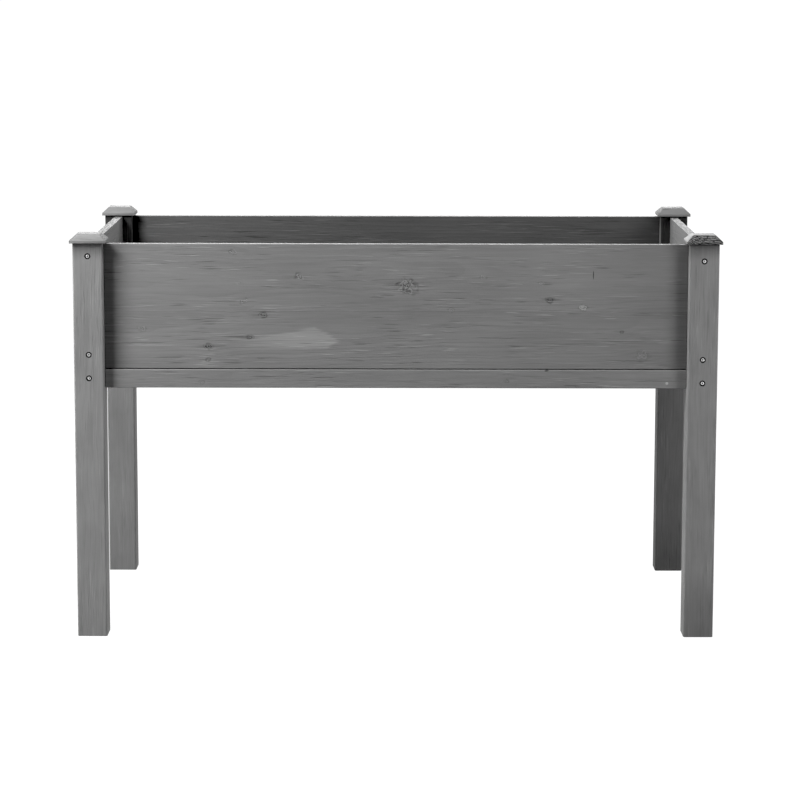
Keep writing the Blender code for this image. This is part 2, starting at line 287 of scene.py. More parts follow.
class Graph:
    """A short way to write node graphs: each call adds a node and gives back its output."""

    def __init__(self, tree):
        self.tree = tree

    def feed(self, socket, value):
        if isinstance(value, bpy.types.NodeSocket):
            self.tree.links.new(value, socket)
        elif value is not None:
            socket.default_value = value

    def node(self, kind, inputs=(), **settings):
        made = self.tree.nodes.new(kind)
        for name, value in settings.items():
            setattr(made, name, value)
        for name, value in dict(inputs).items():
            self.feed(made.inputs[name], value)
        return made

    def math(self, operation, first, second=None, third=None, clamp=False):
        inputs = {0: first, 1: second, 2: third}
        return self.node("ShaderNodeMath", inputs, operation=operation, use_clamp=clamp).outputs[0]

    def add(self, first, second):
        return self.math("ADD", first, second)

    def times(self, first, second):
        return self.math("MULTIPLY", first, second)

    def ramp(self, value, low, high, to_low=0.0, to_high=1.0, smooth=True):
        inputs = {"Value": value, "From Min": low, "From Max": high, "To Min": to_low, "To Max": to_high}
        kind = "SMOOTHSTEP" if smooth else "LINEAR"
        return self.node("ShaderNodeMapRange", inputs, interpolation_type=kind).outputs[0]

    def vector(self, operation, first, second):
        return self.node("ShaderNodeVectorMath", {0: first, 1: second}, operation=operation).outputs[0]

    def length(self, vector):
        return self.node("ShaderNodeVectorMath", {0: vector}, operation="LENGTH").outputs["Value"]

    def scaled(self, vector, scale, offset):
        inputs = {0: vector, 1: scale, 2: offset}
        return self.node("ShaderNodeVectorMath", inputs, operation="MULTIPLY_ADD").outputs[0]

    def noise_of(self, vector, scale, detail=2.0, roughness=0.5, output="Fac"):
        return self.noise(self.vector("MULTIPLY", vector, scale), detail, roughness, output)

    def shift_by(self, value, amount, base):
        """The base plus the value's distance from one half, times the amount."""
        return self.math("MULTIPLY_ADD", self.math("SUBTRACT", value, 0.5), amount, base)

    def split(self, vector):
        return self.node("ShaderNodeSeparateXYZ", {0: vector}).outputs

    def join(self, x, y, z):
        return self.node("ShaderNodeCombineXYZ", {0: x, 1: y, 2: z}).outputs[0]

    def noise(self, vector, detail=2.0, roughness=0.5, output="Fac"):
        inputs = {"Vector": vector, "Scale": 1.0, "Detail": detail, "Roughness": roughness}
        return self.node("ShaderNodeTexNoise", inputs).outputs[output]

    def mix(self, factor, first, second):
        """Number first where factor is 0, and second where it is 1."""
        return self.node("ShaderNodeMix", {0: factor, 2: first, 3: second}, data_type="FLOAT").outputs[0]

    def mix_vector(self, factor, first, second):
        return self.node("ShaderNodeMix", {0: factor, 4: first, 5: second}, data_type="VECTOR").outputs[1]


def new_group(name, inputs, outputs):
    """A node group with its sockets, each (name, kind), and a Graph to fill it."""
    group = bpy.data.node_groups.new(name, "ShaderNodeTree")
    for direction, sockets in (("INPUT", inputs), ("OUTPUT", outputs)):
        for label, kind in sockets:
            group.interface.new_socket(label, in_out=direction, socket_type="NodeSocket" + kind)
    source = group.nodes.new("NodeGroupInput")
    target = group.nodes.new("NodeGroupOutput")
    return group, Graph(group), source.outputs, target.inputs


def nearest_knot(graph, place, knots):
    """Where the nearest knot is, in knot radii from it, and its (radius, core tone, strength)."""
    best, nearest, facts = 100.0, (100.0, 0.0, 0.0), (0.001, 0.0, 0.0)
    for knot_x, knot_z, radius, core_tone, strength in knots:
        scale = (0.72 / radius, 0.0, 1 / radius)
        offset = (-knot_x * scale[0], 0.0, -knot_z * scale[2])
        from_knot = graph.scaled(place, scale, offset)
        length = graph.length(from_knot)
        closer = graph.math("LESS_THAN", length, best)
        nearest = graph.mix_vector(closer, nearest, from_knot)
        facts = graph.mix_vector(closer, facts, (radius, core_tone, strength))
        best = graph.math("MINIMUM", length, best)
    return nearest, facts


def knot_group():
    """A knot: how far it pushes the grain aside, and its swirl of pale and dark arcs."""
    inputs = (("Coordinate", "Vector"), ("From Knot", "Vector"), ("Facts", "Vector"))
    outputs = (("Shift", "Float"), ("Tone", "Float"), ("Core", "Float"))
    group, graph, given, result = new_group("knot", inputs, outputs)
    place = given["Coordinate"]
    radius, core_tone, strength = graph.split(given["Facts"])
    along, _, across = graph.split(given["From Knot"])
    slow = graph.times(along, 0.5)
    squared = graph.add(graph.times(slow, slow), graph.times(across, across))
    pushed = graph.math("DIVIDE", graph.times(across, radius), graph.add(squared, 0.35))
    distance = graph.math("SQRT", graph.add(graph.times(along, along), graph.times(across, across)))
    pushed = graph.times(pushed, graph.ramp(distance, 9.0, 4.0))
    graph.feed(result["Shift"], graph.times(pushed, -1.0))

    ragged = graph.noise_of(place, (75, 75, 110), 2.0, output="Color")
    ragged_x, ragged_z, ragged_tone = graph.split(ragged)
    bent_x = graph.shift_by(ragged_x, 2.2, along)
    bent_z = graph.shift_by(ragged_z, 2.2, across)
    share = graph.math("SQRT", graph.add(graph.times(bent_x, bent_x), graph.times(bent_z, bent_z)))
    core = graph.ramp(share, 1.1, 0.7)
    turns = graph.math("SINE", graph.math("MULTIPLY_ADD", share, 13.0, graph.times(ragged_tone, 9.0)))
    rim = graph.times(graph.ramp(share, 1.5, 1.05), graph.ramp(share, 0.7, 0.95))
    rim = graph.times(rim, graph.ramp(ragged_tone, 0.42, 0.56))
    tail = graph.ramp(graph.math("ABSOLUTE", across), 0.9, 0.1)
    tail = graph.times(tail, graph.ramp(share, 5.0, 1.0))
    lines = graph.noise_of(place, (16, 300, 420), 2.0)
    tone = graph.times(core, graph.math("MULTIPLY_ADD", turns, 0.42, core_tone))
    tone = graph.math("MULTIPLY_ADD", rim, -0.26, tone)
    tone = graph.math("MULTIPLY_ADD", graph.times(tail, graph.math("SUBTRACT", lines, 0.52)), 1.5, tone)
    graph.feed(result["Tone"], graph.times(tone, strength))
    graph.feed(result["Core"], graph.times(core, strength))
    return group


def softwood_group():
    """The inside of a softwood log, cut by the piece: growth rings, fibres, streaks and broad tone."""
    inputs = (
        ("Coordinate", "Vector"),
        ("Shift", "Float"),
        ("Pith", "Vector"),
        ("Slope", "Vector"),
        ("Ring", "Float"),
        ("Seed", "Vector"),
    )
    names = ("Late", "Ring Tone", "Fibre", "Streak", "Broad", "Scratch")
    group, graph, given, result = new_group("softwood", inputs, [(name, "Float") for name in names])
    seeded = graph.vector("ADD", given["Coordinate"], given["Seed"])

    def stretched(x, y, z, detail, roughness=0.5, output="Fac"):
        return graph.noise_of(seeded, (x, y, z), detail, roughness, output)

    x, y, z = graph.split(given["Coordinate"])
    pith_x, pith_y, pith_z = graph.split(given["Pith"])
    _, slope_y, slope_z = graph.split(given["Slope"])
    _, wander_y, wander_z = graph.split(stretched(3.0, 11.0, 11.0, 2.0, output="Color"))
    _, quiver_y, quiver_z = graph.split(stretched(14.0, 70.0, 70.0, 2.0, output="Color"))

    def from_pith(value, pith, slope, wander, quiver):
        value = graph.math("SUBTRACT", graph.math("SUBTRACT", value, pith), graph.times(x, slope))
        return graph.shift_by(quiver, 0.0035, graph.shift_by(wander, 0.022, value))

    away_y = from_pith(y, pith_y, slope_y, wander_y, quiver_y)
    away_z = from_pith(graph.add(z, given["Shift"]), pith_z, slope_z, wander_z, quiver_z)
    radius = graph.math("SQRT", graph.add(graph.times(away_y, away_y), graph.times(away_z, away_z)))
    rings = graph.math("DIVIDE", radius, given["Ring"])
    uneven = graph.noise(graph.join(graph.times(rings, 0.45), pith_x, 0.0), 1.0)
    rings = graph.math("MULTIPLY_ADD", uneven, 1.6, rings)
    share = graph.math("FRACT", rings)
    late = graph.times(graph.ramp(share, 0.35, 0.88), graph.ramp(share, 1.0, 0.93))
    own = graph.node("ShaderNodeTexWhiteNoise", {"W": graph.math("FLOOR", rings)}, noise_dimensions="1D")
    graph.feed(result["Late"], late)
    graph.feed(result["Ring Tone"], own.outputs["Value"])
    graph.feed(result["Fibre"], stretched(9.0, 900.0, 900.0, 3.0, 0.6))
    graph.feed(result["Streak"], stretched(7.0, 130.0, 130.0, 4.0, 0.65))
    graph.feed(result["Broad"], stretched(5.0, 17.0, 17.0, 3.0, 0.55))

    # Short fine lines, pale and dark, that come in patches
    patches = graph.ramp(stretched(6.0, 34.0, 34.0, 2.0, 0.6), 0.40, 0.62)
    fine = stretched(17.0, 400.0, 400.0, 1.0)
    pale = graph.ramp(fine, 0.60, 0.72)
    dark = graph.ramp(fine, 0.40, 0.29)
    graph.feed(result["Scratch"], graph.times(graph.math("SUBTRACT", pale, dark), patches))
    return group


KNOT = knot_group()
SOFTWOOD = softwood_group()


def smear_mask(graph, place):
    """A pale brushed patch shaped like a flame: pointed at its right end and feathered to the left."""
    x, _, z = graph.split(place)
    ragged = graph.noise_of(place, (11, 60, 330), 3.0, 0.6)
    brushed = graph.noise_of(place, (6, 60, 300), 3.0, 0.6)
    point = graph.times(graph.math("SUBTRACT", -0.103, x), 0.57)
    point = graph.math("SUBTRACT", point, graph.math("ABSOLUTE", graph.add(z, 0.066)))
    upper = graph.math("SUBTRACT", graph.math("MULTIPLY_ADD", x, 0.19, -0.0070), z)
    lower = graph.add(z, 0.0825)
    inside = graph.math("MINIMUM", graph.math("MINIMUM", point, upper), lower)
    inside = graph.shift_by(ragged, 0.022, inside)
    streaks = graph.add(brushed, graph.ramp(x, -0.340, -0.140, -0.05, 0.24))
    streaks = graph.times(graph.ramp(streaks, 0.46, 0.70), graph.ramp(x, -0.400, -0.260))
    return graph.times(graph.ramp(inside, -0.001, 0.007), streaks)


def line_tone(graph, place, lines):
    """Checks and pale scratches along the grain, each (middle x, z, half length, half width, tone)."""
    quiver = graph.noise_of(place, (40, 0, 0), 2.0)
    bent = graph.vector("ADD", place, graph.join(0.0, 0.0, graph.shift_by(quiver, 0.005, 0.0)))
    total = 0.0
    for middle, level, half_length, half_width, tone in lines:
        scale = (1 / half_length, 0.0, 1 / half_width)
        offset = (-middle / half_length, 0.0, -level / half_width)
        length = graph.length(graph.scaled(bent, scale, offset))
        total = graph.math("MULTIPLY_ADD", graph.ramp(length, 1.0, 0.55), tone, total)
    return total


def stained_wood(
    name,
    tone,
    pith,
    slope,
    ring=0.0045,
    knots=(),
    lines=(),
    flat=False,
    upright=False,
    seam=None,
    smear=False,
    painted_shades=(),
    inner=1.0,
    inner_side=False,
    rings=0.6,
    cloud=0.0,
    scratches=0.34,
    edge_rough=0.0,
    edge_level=0.5,
    end_tone=0.55,
    end_rings=0.42,
    end_rough=1.3,
    end_cracks=0.0,
):
    """Grey-stained softwood, cut from a log with its pith, slope and ring width given in the local frame.

    tone is the face's grey. knots and lines are marks at (x, z, ...), or at (x, y, ...) on a flat piece.
    seam is a glue line's z, and smear gives the pale patch. Painted shade darkens the tone over stretches
    along the grain, each (x from, x to, factor at the first, factor at the second). inner is how dark a
    painted shade makes the face towards -Y, and with inner_side the face towards -Z too; on an upright post
    only above the rails.
    The rest say how strongly rings, cloudy tone, scratches, sawn top edges and end grain show.
    """
    material = bpy.data.materials.new(name)
    material.use_nodes = True
    tree = material.node_tree
    shader = tree.nodes["Principled BSDF"]
    graph = Graph(tree)
    seed = tuple(rng.uniform(-40, 40, 3))
    coordinate = graph.node("ShaderNodeTexCoord").outputs
    place = coordinate["Object"]
    z = graph.split(place)[2]

    stave_tone = 0.0
    shifted = place
    if seam is not None:
        upper = graph.math("GREATER_THAN", z, seam)
        shifted = graph.vector("ADD", place, graph.join(graph.times(upper, 3.7), 0.0, 0.0))
        stave_tone = graph.times(upper, 0.03)

    shift, knot_tone, core = 0.0, 0.0, 0.0
    if knots:
        knot = graph.node("ShaderNodeGroup", node_tree=KNOT)
        level = place
        if flat:
            x, y, z = graph.split(place)
            level = graph.join(x, z, y)
        for socket, value in zip(knot.inputs, (level, *nearest_knot(graph, level, knots))):
            graph.feed(socket, value)
        shift, knot_tone, core = knot.outputs

    wood = graph.node("ShaderNodeGroup", node_tree=SOFTWOOD)
    for socket, value in zip(wood.inputs, (shifted, shift, pith, slope, ring, seed)):
        graph.feed(socket, value)
    late, fibre, streak, broad = (wood.outputs[label] for label in ("Late", "Fibre", "Streak", "Broad"))
    scratch = wood.outputs["Scratch"]

    change = graph.times(late, -0.075 * rings)
    change = graph.shift_by(wood.outputs["Ring Tone"], 0.05 * rings, change)
    change = graph.shift_by(fibre, 0.26, change)
    change = graph.shift_by(streak, 0.30, change)
    change = graph.shift_by(broad, 0.34, change)
    change = graph.math("MULTIPLY_ADD", scratch, scratches, change)
    if cloud:
        patches = graph.noise_of(graph.vector("ADD", place, seed), (17, 30, 30), 2.0)
        change = graph.shift_by(patches, cloud, change)
    change = graph.add(graph.add(change, stave_tone), knot_tone)
    marks = line_tone(graph, place, lines)
    change = graph.add(change, marks)
    if smear:
        change = graph.math("MULTIPLY_ADD", smear_mask(graph, place), 0.34, change)
    worn = graph.node("ShaderNodeAttribute", attribute_name="wear").outputs["Fac"]
    change = graph.math("MULTIPLY_ADD", worn, 0.26, change)
    facing = graph.split(coordinate["Normal"])
    end = graph.ramp(graph.math("ABSOLUTE", facing[0]), 0.35, 0.62)
    speckle = graph.noise_of(place, (120, 310, 310), 3.0, 0.7)
    end_change = graph.shift_by(speckle, end_rough, end_tone - 1.0)
    end_change = graph.math("MULTIPLY_ADD", late, -end_rings, end_change)
    if end_cracks:
        cracks = graph.noise_of(place, (90, 110, 560), 2.0, 0.6)
        end_change = graph.math("MULTIPLY_ADD", graph.ramp(cracks, 0.52, 0.60), -end_cracks, end_change)
    change = graph.mix(end, change, end_change)
    if edge_rough:
        saw = graph.noise_of(place, (17, 210, 0), 2.0, 0.6)
        saw = graph.times(graph.math("SUBTRACT", saw, edge_level), graph.ramp(facing[2], 0.75, 0.95))
        change = graph.math("MULTIPLY_ADD", saw, edge_rough, change)
    grey = graph.times(graph.add(change, 1.0), tone)
    # Painted shade: the grey darkens over stretches along the grain
    for start, end_at, first, last in painted_shades:
        grey = graph.times(grey, graph.ramp(graph.split(place)[0], start, end_at, first, last))
    # Painted shade on the face towards -Y, and with inner_side on the face towards -Z too
    if inner != 1.0:
        towards = graph.ramp(facing[1], -0.5, -0.9)
        if inner_side:
            towards = graph.math("MAXIMUM", towards, graph.ramp(facing[2], -0.5, -0.9))
        if upright:
            towards = graph.times(towards, graph.ramp(graph.split(place)[0], 0.10, 0.14))
        grey = graph.times(grey, graph.ramp(towards, 0.0, 1.0, 1.0, inner))
    if seam is not None:
        from_seam = graph.math("ABSOLUTE", graph.math("SUBTRACT", z, seam))
        grey = graph.times(grey, graph.ramp(from_seam, 0.0001, 0.0005, 0.72, 1.0))
    # Painted shade in the walls of the counterbores and bores
    painted_bore_shade = graph.node("ShaderNodeAttribute", attribute_name="painted_bore_shade").outputs["Fac"]
    grey = graph.times(grey, graph.ramp(painted_bore_shade, 0.0, 1.0, 1.0, 0.12))
    grey = graph.math("MAXIMUM", grey, 0.006)
    colour = graph.node("ShaderNodeCombineColor", {0: grey, 1: grey, 2: grey}).outputs[0]
    graph.feed(shader.inputs["Base Color"], colour)

    gloss = graph.math("MULTIPLY_ADD", fibre, 0.22, 0.50)
    gloss = graph.math("MULTIPLY_ADD", core, -0.08, gloss)
    graph.feed(shader.inputs["Roughness"], graph.math("MULTIPLY_ADD", end, 0.2, gloss, clamp=True))
    shader.inputs["Specular IOR Level"].default_value = 0.35

    height = graph.math("MULTIPLY_ADD", fibre, 0.8, graph.times(late, 0.3))
    height = graph.math("MULTIPLY_ADD", scratch, 0.9, height)
    height = graph.math("MULTIPLY_ADD", graph.add(knot_tone, marks), 1.2, height)
    height = graph.math("MULTIPLY_ADD", graph.times(end, speckle), 2.5, height)
    bump = graph.node("ShaderNodeBump", {"Height": height, "Strength": 0.6, "Distance": 0.0004})
    graph.feed(shader.inputs["Normal"], bump.outputs[0])
    return material


def zinc(name):
    """Zinc-plated steel on the crown of the head, with painted shade, dark and not metal, in the middle of the
    recess and round the rim.
    """
    material = bpy.data.materials.new(name)
    material.use_nodes = True
    graph = Graph(material.node_tree)
    shader = material.node_tree.nodes["Principled BSDF"]
    place = graph.node("ShaderNodeTexCoord").outputs["Object"]
    fine = graph.noise_of(place, (1500, 1500, 1500), 3.0, 0.6)
    broad = graph.noise_of(place, (420, 420, 420), 2.0, 0.5)
    flat = graph.vector("MULTIPLY", place, (1, 1, 0))
    radius = graph.length(flat)
    radius = graph.shift_by(broad, 0.0016, radius)
    # The bare zinc crown, from the recess to the rim; inside and outside it the colour is painted shade
    unshaded_crown = graph.times(graph.ramp(radius, 0.0033, 0.0028), graph.ramp(radius, 0.0012, 0.0016))
    grey = graph.math("MULTIPLY_ADD", fine, 0.20, graph.times(broad, 0.40))
    grey = graph.mix(unshaded_crown, 0.015, graph.add(grey, 0.66))
    colour = graph.node("ShaderNodeCombineColor", {0: grey, 1: grey, 2: grey}).outputs[0]
    graph.feed(shader.inputs["Base Color"], colour)
    graph.feed(shader.inputs["Roughness"], graph.mix(unshaded_crown, 0.7, graph.ramp(broad, 0.3, 0.7, 0.30, 0.5)))
    graph.feed(shader.inputs["Metallic"], unshaded_crown)
    bump = graph.node("ShaderNodeBump", {"Height": fine, "Strength": 0.25, "Distance": 0.0001})
    graph.feed(shader.inputs["Normal"], bump.outputs[0])
    return material


def bare_hardwood(name):
    """Pale dowel timber with fine straight grain along Z."""
    material = bpy.data.materials.new(name)
    material.use_nodes = True
    graph = Graph(material.node_tree)
    shader = material.node_tree.nodes["Principled BSDF"]
    place = graph.node("ShaderNodeTexCoord").outputs["Object"]
    fibre = graph.noise_of(place, (900, 900, 25), 3.0, 0.6)
    ramp = graph.node("ShaderNodeValToRGB", {0: fibre})
    ramp.color_ramp.elements[0].color = (0.40, 0.29, 0.18, 1)
    ramp.color_ramp.elements[1].color = (0.66, 0.53, 0.38, 1)
    graph.feed(shader.inputs["Base Color"], ramp.outputs[0])
    graph.feed(shader.inputs["Roughness"], graph.ramp(fibre, 0.3, 0.7, 0.6, 0.8))
    return material


# ---------------------------------------------------------------- pieces


def place_piece(name, mesh, place, material, node):
    """A finished piece, which takes the place of the CAD node."""
    mesh.materials.clear()
    mesh.materials.append(material)
    mesh.shade_smooth()
    mesh.set_sharp_from_angle(angle=math.radians(32))
    piece = bpy.data.objects.new(name, mesh)
    bpy.context.scene.collection.objects.link(piece)
    piece.matrix_world = place
    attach(piece, "root")
    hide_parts(node)
    return piece


def random_knots(size, count, low=0.004, high=0.009):
    """Knots scattered over a piece of this size, as (x, z, radius, core tone, strength)."""
    spots = []
    for _ in range(count):
        spot_x = rng.uniform(-0.46, 0.46) * size[0]
        spot_z = rng.uniform(-0.42, 0.42) * size[2]
        radius, core_tone, strength = rng.uniform(low, high), rng.uniform(-0.25, 0.0), rng.uniform(0.6, 1.0)
        spots.append((spot_x, spot_z, radius, core_tone, strength))
    return spots


def screw_places(node_names, place):
    """Where the tops of these screws are, facing +Z, in the local frame of the piece at the place."""
    places = []
    for node in node_names:
        top, facing, _ = screw_axis(node)
        places.append(place.inverted() @ Matrix.Translation(top) @ turn_to(facing))
    return places


def bored_mesh(mesh, node_names, place, mouth):
    """The piece with its counterbores and bores. Their walls are marked for painted shade."""
    places = screw_places(node_names, place)
    deep = -(screw_axis(node_names[0])[2] + 0.0015)
    profile = [(0.0, 0.02), (mouth, 0.02), (mouth, -0.0002)]
    profile += [(COUNTERBORE, -0.0008), (COUNTERBORE, -COUNTERBORE_DEPTH)]
    profile += [(BORE, -COUNTERBORE_DEPTH - 0.0002), (BORE, deep), (0.0, deep)]
    hole = turned_mesh("hole", profile, 28, rough=0.012)
    mesh = cut_mesh(mesh, [joined_mesh("holes", hole, places)])
    points = np.array([(*point.co, 1.0) for point in mesh.vertices])
    # Mark the faces in the walls of the holes, which get painted shade
    walls = np.zeros(len(points), bool)
    for spot in places:
        local = points @ np.array(spot.inverted()).T
        walls |= (np.hypot(local[:, 0], local[:, 1]) < mouth * 1.03) & (local[:, 2] > deep - 0.001)
    inside = [float(all(walls[number] for number in face.vertices)) for face in mesh.polygons]
    mesh.attributes.new("painted_bore_shade", "FLOAT", "FACE").data.foreach_set("value", inside)
    return mesh


def post_screws(corner):
    """The six screws that go through a post: from its two outer faces."""
    end, side = corner.split("_")
    rows = ("top", "middle", "bottom")
    return [f"screw_{side}_{end}_{row}" for row in rows] + [f"screw_{end}_{side}_{row}" for row in rows]


def make_posts():
    tones = {"front_left": 0.268, "front_right": 0.256, "back_right": 0.188, "back_left": 0.250}
    # How much painted shade darkens each post at its foot
    foot_shade = {"front_left": 0.96, "front_right": 0.78, "back_right": 0.78, "back_left": 0.96}
    for corner in CORNERS:
        node = "post_" + corner
        place, size = local_place(node, "z")
        mesh = timber_mesh(node, size, 0.0028, 0.0010, (0.009, 0.006, 0.006), worn=0.0006)
        mesh = bored_mesh(mesh, post_screws(corner), place, POST_MOUTH)
        pith = (rng.uniform(0, 9), rng.uniform(0.02, 0.05), rng.uniform(-0.05, 0.05))
        slope = (0, rng.uniform(-0.012, 0.012), rng.uniform(-0.012, 0.012))
        # Painted shade darkens each post towards its foot, and a painted shadow lies under the cap
        painted_shades = ((-0.36, -0.24, foot_shade[corner], 1.0), (0.375, 0.343, 0.60, 1.0))
        extra = {"upright": True, "painted_shades": painted_shades, "cloud": 0.30, "rings": 0.4, "scratches": 0.16}
        # Painted shade on the faces of the back posts inside the trough, and on the back-left post's side face
        # there too
        extra["inner"] = 0.28 if "back" in corner else 1.0
        extra["inner_side"] = corner == "back_left"
        material = stained_wood("stain_" + node, tones[corner], pith, slope, 0.0036, **extra)
        place_piece("wood_" + node, mesh, place, material, node)


# Knots of the front board, from its middle: along, up, radius, core tone, strength
FRONT_KNOTS = (
    (0.021, 0.038, 0.0125, -0.06, 1.0),
    (-0.182, 0.057, 0.0065, -0.08, 0.8),
    (-0.290, 0.011, 0.0050, -0.02, 0.9),
    (-0.252, -0.016, 0.0055, -0.22, 1.0),
    (-0.277, -0.060, 0.0050, -0.34, 1.0),
    (-0.356, -0.077, 0.0055, -0.26, 1.0),
    (-0.358, -0.103, 0.0032, -0.26, 1.0),
    (-0.307, 0.104, 0.0050, -0.05, 0.8),
    (0.165, 0.057, 0.0042, 0.02, 0.8),
    (0.291, 0.013, 0.0050, -0.26, 1.0),
    (0.276, 0.045, 0.0035, 0.20, 0.7),
    (0.354, -0.002, 0.0050, 0.34, 0.9),
    (0.429, -0.048, 0.0030, -0.24, 1.0),
    (0.470, -0.0925, 0.0090, 0.06, 0.42),
    (0.104, -0.007, 0.0040, 0.08, 0.5),
    (-0.301, 0.044, 0.0030, 0.12, 0.6),
    (-0.483, -0.043, 0.0060, -0.08, 0.5),
)

# Its checks and pale scratches: middle x, z, half length, half width, tone
FRONT_LINES = (
    (0.374, 0.0605, 0.0012, 0.0100, -0.75),
    (-0.480, -0.0700, 0.055, 0.0013, -0.32),
    (-0.465, -0.0748, 0.065, 0.0013, 0.20),
    (-0.340, -0.0520, 0.050, 0.0014, 0.18),
    (-0.080, 0.0490, 0.066, 0.0012, -0.22),
    (-0.016, 0.0215, 0.018, 0.0014, -0.34),
    (-0.036, 0.0175, 0.018, 0.0012, -0.28),
    (-0.070, 0.0880, 0.060, 0.0012, -0.18),
    (0.190, -0.0600, 0.055, 0.0012, -0.20),
    (0.430, 0.0200, 0.045, 0.0012, 0.16),
    (0.440, -0.1030, 0.055, 0.0013, -0.24),
)


def make_boards():
    tones = {"front": 0.250, "right": 0.216, "back": 0.235, "left": 0.202}
    for side in SIDES:
        node = "board_" + side
        place, size = local_place(node, "x" if side in ("front", "back") else "y")
        mesh = timber_mesh(node, size, 0.0010, 0.0006, (0.010, 0.004, 0.008), worn=0.0003)
        pith = (rng.uniform(0, 9), 0.055, rng.uniform(-0.03, 0.03))
        slope = (0, 0.010, rng.uniform(-0.03, 0.03))
        knots = FRONT_KNOTS if side == "front" else random_knots(size, 7)
        lines = FRONT_LINES if side == "front" else ()
        half = size[0] / 2
        extra = {"seam": SEAM_LEVEL, "edge_rough": 0.7, "smear": side == "front"}
        if side == "front":
            # Painted shadow beside each post, deepest at the left, and painted shade over the right part of
            # the board
            extra["painted_shades"] = (
                (-half, 0.070 - half, 0.60, 1.0),
                (half, half - 0.050, 0.78, 1.0),
                (half, half - 0.260, 0.83, 1.0),
            )
        elif side == "back":
            # Painted shade on the inner face, painted shadow in both corners, and painted shade that grows
            # towards the right
            extra["inner"] = 0.47
            extra["painted_shades"] = (
                (-half, 0.032 - half, 0.18, 1.0),
                (-0.15, -0.42, 0.86, 1.08),
                (half, half - 0.090, 0.78, 1.0),
            )
        else:
            extra.update(edge_rough=2.8, edge_level=0.58)
        material = stained_wood("stain_" + node, tones[side], pith, slope, 0.0050, knots, lines, **extra)
        place_piece("wood_" + node, mesh, place, material, node)


# Marks on the front rail: a knocked pale spot, a dark chip in its top arris and faint scratches
RAIL_LINES = (
    (0.516, -0.0078, 0.0034, 0.0034, 0.85),
    (0.287, 0.0168, 0.0050, 0.0020, -0.70),
    (-0.430, 0.0095, 0.040, 0.0011, 0.16),
    (0.500, -0.0035, 0.060, 0.0012, -0.26),
    (-0.100, 0.0120, 0.050, 0.0012, 0.14),
)


def make_rails():
    for side in SIDES:
        node = "rail_" + side
        place, size = local_place(node, "x" if side in ("front", "back") else "y")
        mesh = timber_mesh(node, size, 0.0015, 0.0006, (0.010, 0.005, 0.006), worn=0.0004)
        pith = (rng.uniform(0, 9), 0.03, rng.uniform(-0.03, 0.03))
        slope = (0, 0.006, rng.uniform(-0.01, 0.01))
        knots = random_knots(size, 2, 0.002, 0.004)
        lines = RAIL_LINES if side == "front" else ()
        material = stained_wood("stain_" + node, 0.250, pith, slope, 0.0034, knots, lines)
        place_piece("wood_" + node, mesh, place, material, node)


def notch_cutters(place):
    """Blocks round the four posts, in the local frame of the slat at the place."""
    cutters = []
    for corner in CORNERS:
        middle, size = middle_and_size("post_" + corner)
        middle.z = place.translation.z
        room = Vector((size.x + NOTCH_ROOM, size.y + NOTCH_ROOM, 0.05))
        notch = bmesh.new()
        block = Matrix.Translation(middle) @ Matrix.Diagonal((*room, 1))
        bmesh.ops.create_cube(notch, size=1.0, matrix=block)
        cutter = bpy.data.meshes.new("notch")
        notch.to_mesh(cutter)
        notch.free()
        cutter.transform(place.inverted())
        cutters.append(cutter)
    return cutters


def make_floor_pieces():
    for side in ("front", "back"):
        node = "ledger_" + side
        place, size = local_place(node, "x")
        mesh = timber_mesh(node, size, 0.0010, 0.0006, (0.012, 0.006, 0.006), worn=0.0004)
        names = [f"ledger_screw_{side}_{count}" for count in (1, 2, 3)]
        mesh = bored_mesh(mesh, names, place, LEDGER_MOUTH)
        material = stained_wood("stain_" + node, 0.22, (1, 0.03, 0.01), (0, 0.01, 0), 0.004)
        place_piece("wood_" + node, mesh, place, material, node)
    for count in range(1, 9):
        node = f"floor_slat_{count}"
        place, size = local_place(node, "y")
        mesh = timber_mesh(node, size, 0.0010, 0.0006, (0.012, 0.008, 0.006), worn=0.0004)
        if count in (1, 8):
            mesh = cut_mesh(mesh, notch_cutters(place))
        pith = (rng.uniform(0, 9), 0.02, rng.uniform(-0.05, 0.05))
        slope = (0, 0.01, rng.uniform(-0.02, 0.02))
        knots = random_knots((size[0], size[2], size[1]), 3)
        material = stained_wood("stain_" + node, 0.21, pith, slope, 0.005, knots, flat=True)
        place_piece("wood_" + node, mesh, place, material, node)


def cap_mesh(name, size, band, chamfer):
    """A cap: a vertical band, a flat chamfer all round and a flat top, with its edges rounded over."""
    wide, high = size[0], size[2]
    bm = bmesh.new()
    place = Matrix.Translation((0, 0, band / 2 - high / 2)) @ Matrix.Diagonal((wide, wide, band, 1))
    bmesh.ops.create_cube(bm, size=1.0, matrix=place)
    bm.normal_update()
    top = [face for face in bm.faces if face.normal.z > 0.5]
    raised = bmesh.ops.extrude_face_region(bm, geom=top)["geom"]
    rim = [item for item in raised if isinstance(item, bmesh.types.BMVert)]
    bmesh.ops.delete(bm, geom=top, context="FACES_ONLY")
    shrink = 1 - 2 * chamfer / wide
    bmesh.ops.scale(bm, vec=(shrink, shrink, 1), verts=rim)
    bmesh.ops.translate(bm, vec=(0, 0, high - band), verts=rim)
    bmesh.ops.bevel(bm, geom=bm.edges[:], offset=0.0006, segments=2, affect="EDGES", profile=0.5)
    mesh = bpy.data.meshes.new(name)
    bm.to_mesh(mesh)
    bm.free()
    return mesh


